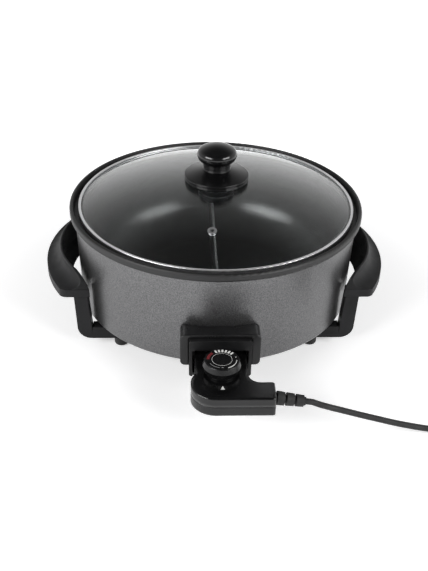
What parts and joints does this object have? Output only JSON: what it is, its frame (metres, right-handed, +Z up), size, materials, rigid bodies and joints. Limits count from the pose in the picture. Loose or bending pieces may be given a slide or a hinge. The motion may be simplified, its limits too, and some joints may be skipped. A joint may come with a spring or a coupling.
{
  "type": "electric grill pan",
  "caption": "Deep divided electric grill pan on leg handles, with a lift-off domed glass lid and a plug-in thermostat control on a mains lead.",
  "frame": {"origin": "on the table, under the middle of the appliance without its lead", "axes": "+Z up, the control to -Y, the handles to -X and +X"},
  "size_m": [0.5955, 0.4629, 0.2359],
  "materials": {
    "pan_coating": "cast, fine hammered grey paint outside, black non-stick inside",
    "element_tube": "satin",
    "clip_steel": "satin",
    "pin_steel": "polished",
    "insulator": "matte ceramic look",
    "socket_steel": "satin",
    "guard_black": "semi-gloss",
    "sleeve_black": "satin",
    "screw_steel": "satin",
    "handle_black": "satin",
    "foot_rubber": "matte",
    "lid_glass": "clear, polished",
    "band_steel": "polished",
    "eyelet_steel": "satin",
    "knob_black": "gloss",
    "insert_brass": "satin",
    "disc_black": "gloss",
    "gasket_rubber": "matte",
    "seat_black": "satin",
    "control_black": "gloss",
    "control_lower_black": "semi-gloss",
    "contact_brass": "bright",
    "probe_steel": "satin",
    "wire_sleeve": "matte",
    "relief_rubber": "matte",
    "cord_rubber": "matte",
    "tie_plastic": "satin",
    "plug_rubber": "matte",
    "plug_steel": "polished",
    "dial_black": "semi-gloss",
    "dial_print": "gloss with a printed scale",
    "spindle_steel": "satin"
  },
  "bodies": {
    "pan_body": {"pan": "pan_coating", "heating_element": "element_tube", "element_clips": "clip_steel", "terminal_pins": "pin_steel", "pin_insulators": "insulator", "probe_socket": "socket_steel", "guard_hood": "guard_black", "guard_sleeve": "sleeve_black", "sleeve_screws": "screw_steel", "hood_screws": "screw_steel", "handle_left": "handle_black", "handle_right": "handle_black", "handle_screws": "screw_steel", "rubber_feet": "foot_rubber"},
    "lid": {"lid_glass": "lid_glass", "lid_band": "band_steel", "vent_eyelet": "eyelet_steel", "lid_knob": "knob_black", "knob_insert": "insert_brass", "knob_disc": "disc_black", "knob_gasket": "gasket_rubber", "knob_seat": "seat_black", "knob_screw": "screw_steel"},
    "control": {"control_upper": "control_black", "control_lower": "control_lower_black", "control_screws": "screw_steel", "contact_carrier": "insulator", "contact_sleeves": "contact_brass", "probe": "probe_steel", "switch_block": "insulator", "contact_blades": "contact_brass", "lead_wires": "wire_sleeve", "strain_relief": "relief_rubber", "mains_cord": "cord_rubber", "cord_coil": "cord_rubber", "cord_tail": "cord_rubber", "cord_tie": "tie_plastic", "plug_body": "plug_rubber", "plug_pins": "plug_steel"},
    "dial": {"dial": "dial_black", "dial_cap": "dial_print", "dial_spindle": "spindle_steel", "spindle_clip": "spindle_steel"},
    "adjuster": {"adjusting_pin": "insulator"}
  },
  "joints": [
    {"name": "lid_lift", "type": "slide", "parent": "pan_body", "child": "lid", "axis": [0, 0, 1], "range_m": [0, 0.2]},
    {"name": "control_pull", "type": "slide", "parent": "pan_body", "child": "control", "axis": [0, -1, 0], "range_m": [0, 0.08]},
    {"name": "dial_turn", "type": "hinge", "parent": "control", "child": "dial", "pos_m": [0, -0.1835, 0.066], "axis": [0, 0, 1], "range_deg": [0, 270]},
    {"name": "adjuster_press", "type": "slide", "parent": "control", "child": "adjuster", "axis": [0, 0, -1], "range_m": [0, 0.0014]}
  ],
  "couplings": [
    {"joint": "adjuster_press", "follows": "dial_turn", "m_per_rad": 0.000297}
  ]
}
